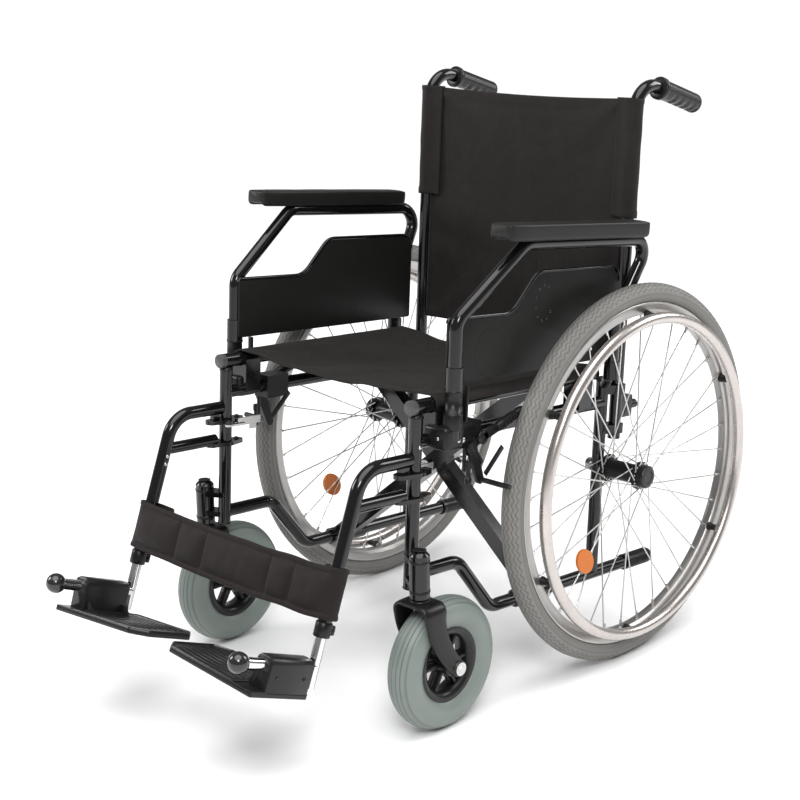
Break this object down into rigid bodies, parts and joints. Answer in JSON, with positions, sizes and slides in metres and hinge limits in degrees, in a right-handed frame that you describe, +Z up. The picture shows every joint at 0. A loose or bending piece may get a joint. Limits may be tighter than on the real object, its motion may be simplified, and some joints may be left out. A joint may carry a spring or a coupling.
{
  "type": "wheelchair",
  "caption": "Folding manual wheelchair with a cross-braced frame, spoked rear wheels with handrims, swivel casters, lift-off armrests and swing-away footrests.",
  "frame": {"origin": "on the floor, midway between the rear edge of the rear tyres and the front of the footplate knobs, on the mirror plane between the two sides", "axes": "+Z up; the chair faces -Y, so +Y runs from the footplates to the push handles; +X is towards the sitter's left"},
  "size_m": [0.626, 1.0633, 0.9015],
  "materials": {
    "frame_black": "gloss black paint",
    "fabric": "woven black nylon",
    "grip": "moulded rubber",
    "plastic": "black moulded plastic",
    "pad": "padded vinyl skin",
    "steel": "plated steel",
    "chrome": "bright plating",
    "rim": "satin",
    "handrim": "champagne anodised",
    "grey_tyre": "grey rubber",
    "green_tyre": "grey-green rubber",
    "reflector": "amber reflector"
  },
  "bodies": {
    "left_frame": {"left_side_frame": "frame_black", "left_tip_cap": "grip", "left_back_cane": "frame_black", "left_push_grip": "grip", "left_rear_axle": "steel", "left_brake_clamp": "frame_black", "back_sling": "fabric"},
    "left_brace": {"left_brace_arm": "frame_black", "brace_bolt": "steel", "right_rail_plug": "plastic", "seat_sling": "fabric"},
    "right_brace": {"right_brace_arm": "frame_black", "left_rail_plug": "plastic"},
    "right_frame": {"right_side_frame": "frame_black", "right_tip_cap": "grip", "right_back_cane": "frame_black", "right_push_grip": "grip", "right_rear_axle": "steel", "right_brake_clamp": "frame_black"},
    "left_wheel": {"left_rear_hub": "plastic", "left_rear_spokes": "steel", "left_rear_rim": "rim", "left_rear_tyre": "grey_tyre", "left_handrim": "handrim", "left_reflector": "reflector"},
    "left_caster_fork": {"left_caster_fork": "frame_black", "left_caster_axle": "steel"},
    "left_caster_wheel": {"left_caster_rim": "plastic", "left_caster_tyre": "green_tyre"},
    "left_armrest": {"left_armrest_frame": "frame_black", "left_armrest_pad": "pad", "left_side_panel": "plastic"},
    "left_hanger": {"left_hanger": "frame_black", "calf_strap": "fabric"},
    "left_release": {"left_release_lever": "steel"},
    "left_foot_tube": {"left_foot_tube": "chrome", "left_foot_knob": "plastic"},
    "left_footplate": {"left_footplate": "plastic"},
    "left_brake_lever": {"left_brake_lever": "grip"},
    "left_brake_bar": {"left_brake_bar": "steel"},
    "right_wheel": {"right_rear_hub": "plastic", "right_rear_spokes": "steel", "right_rear_rim": "rim", "right_rear_tyre": "grey_tyre", "right_handrim": "handrim", "right_reflector": "reflector"},
    "right_caster_fork": {"right_caster_fork": "frame_black", "right_caster_axle": "steel"},
    "right_caster_wheel": {"right_caster_rim": "plastic", "right_caster_tyre": "green_tyre"},
    "right_armrest": {"right_armrest_frame": "frame_black", "right_armrest_pad": "pad", "right_side_panel": "plastic"},
    "right_hanger": {"right_hanger": "frame_black"},
    "right_release": {"right_release_lever": "steel"},
    "right_foot_tube": {"right_foot_tube": "chrome", "right_foot_knob": "plastic"},
    "right_footplate": {"right_footplate": "plastic"},
    "right_brake_lever": {"right_brake_lever": "grip"},
    "right_brake_bar": {"right_brake_bar": "steel"}
  },
  "joints": [
    {"name": "fold", "type": "hinge", "parent": "left_frame", "child": "left_brace", "pos_m": [0.205, 0.06826, 0.12939], "axis": [0, 0.9982, -0.0593], "range_deg": [0, 36], "deforming": ["seat_sling", "back_sling", "calf_strap"]},
    {"name": "brace_cross", "type": "hinge", "parent": "left_brace", "child": "right_brace", "pos_m": [0, 0.0781, 0.2951], "axis": [0, 0.9982, -0.0593], "range_deg": [-73, 0]},
    {"name": "right_rail_hinge", "type": "hinge", "parent": "right_brace", "child": "right_frame", "pos_m": [-0.205, 0.06826, 0.12939], "axis": [0, 0.9982, -0.0593], "range_deg": [0, 37]},
    {"name": "left_wheel_spin", "type": "hinge", "parent": "left_frame", "child": "left_wheel", "pos_m": [0.27, 0.23166, 0.3], "axis": [1, 0, 0], "continuous": true},
    {"name": "left_caster_swivel", "type": "hinge", "parent": "left_frame", "child": "left_caster_fork", "pos_m": [0.236, -0.21034, 0.24], "axis": [0, 0, 1], "continuous": true},
    {"name": "left_caster_spin", "type": "hinge", "parent": "left_caster_fork", "child": "left_caster_wheel", "pos_m": [0.236, -0.16634, 0.1], "axis": [1, 0, 0], "continuous": true},
    {"name": "left_armrest_lift", "type": "slide", "parent": "left_frame", "child": "left_armrest", "axis": [0, 0.0593, 0.9982], "range_m": [0, 0.09]},
    {"name": "left_hanger_swing", "type": "hinge", "parent": "left_frame", "child": "left_hanger", "pos_m": [0.205, -0.18922, 0.36507], "axis": [0, 0.0593, 0.9982], "range_deg": [0, 90]},
    {"name": "left_release_turn", "type": "hinge", "parent": "left_hanger", "child": "left_release", "pos_m": [0.188, -0.1962, 0.38252], "axis": [0, 0.0593, 0.9982], "range_deg": [0, 22], "stiffness_Nm_per_rad": 0.02, "springref_deg": -5.73},
    {"name": "left_foot_tube_slide", "type": "slide", "parent": "left_hanger", "child": "left_foot_tube", "axis": [0, -0.3535, -0.9354], "range_m": [-0.03, 0.05]},
    {"name": "left_footplate_flip", "type": "hinge", "parent": "left_foot_tube", "child": "left_footplate", "pos_m": [0.205, -0.45165, 0.17737], "axis": [0, 0.9354, -0.3535], "range_deg": [0, 94.6]},
    {"name": "left_brake_lever_turn", "type": "hinge", "parent": "left_frame", "child": "left_brake_lever", "pos_m": [0.232, -0.08184, 0.4188], "axis": [1, 0, 0], "range_deg": [0, 45]},
    {"name": "left_brake_bar_turn", "type": "hinge", "parent": "left_frame", "child": "left_brake_bar", "pos_m": [0.229, -0.09477, 0.40354], "axis": [1, 0, 0], "range_deg": [0, 11.5]},
    {"name": "right_wheel_spin", "type": "hinge", "parent": "right_frame", "child": "right_wheel", "pos_m": [-0.27, 0.23166, 0.3], "axis": [1, 0, 0], "continuous": true},
    {"name": "right_caster_swivel", "type": "hinge", "parent": "right_frame", "child": "right_caster_fork", "pos_m": [-0.236, -0.21034, 0.24], "axis": [0, 0, 1], "continuous": true},
    {"name": "right_caster_spin", "type": "hinge", "parent": "right_caster_fork", "child": "right_caster_wheel", "pos_m": [-0.236, -0.16634, 0.1], "axis": [1, 0, 0], "continuous": true},
    {"name": "right_armrest_lift", "type": "slide", "parent": "right_frame", "child": "right_armrest", "axis": [0, 0.0593, 0.9982], "range_m": [0, 0.09]},
    {"name": "right_hanger_swing", "type": "hinge", "parent": "right_frame", "child": "right_hanger", "pos_m": [-0.205, -0.18922, 0.36507], "axis": [0, -0.0593, -0.9982], "range_deg": [0, 90]},
    {"name": "right_release_turn", "type": "hinge", "parent": "right_hanger", "child": "right_release", "pos_m": [-0.188, -0.1962, 0.38252], "axis": [0, -0.0593, -0.9982], "range_deg": [0, 22], "stiffness_Nm_per_rad": 0.02, "springref_deg": -5.73},
    {"name": "right_foot_tube_slide", "type": "slide", "parent": "right_hanger", "child": "right_foot_tube", "axis": [0, -0.3535, -0.9354], "range_m": [-0.03, 0.05]},
    {"name": "right_footplate_flip", "type": "hinge", "parent": "right_foot_tube", "child": "right_footplate", "pos_m": [-0.205, -0.45165, 0.17737], "axis": [0, -0.9354, 0.3535], "range_deg": [0, 94.6]},
    {"name": "right_brake_lever_turn", "type": "hinge", "parent": "right_frame", "child": "right_brake_lever", "pos_m": [-0.232, -0.08184, 0.4188], "axis": [1, 0, 0], "range_deg": [0, 45]},
    {"name": "right_brake_bar_turn", "type": "hinge", "parent": "right_frame", "child": "right_brake_bar", "pos_m": [-0.229, -0.09477, 0.40354], "axis": [1, 0, 0], "range_deg": [0, 11.5]}
  ],
  "couplings": [
    {"joint": "brace_cross", "follows": "fold", "ratio": -2},
    {"joint": "right_rail_hinge", "follows": "fold", "ratio": 1},
    {"joint": "left_footplate_flip", "follows": "fold", "ratio": 2.6},
    {"joint": "left_brake_bar_turn", "follows": "left_brake_lever_turn", "ratio": 0.24},
    {"joint": "right_footplate_flip", "follows": "fold", "ratio": 2.6},
    {"joint": "right_brake_bar_turn", "follows": "right_brake_lever_turn", "ratio": 0.24}
  ]
}
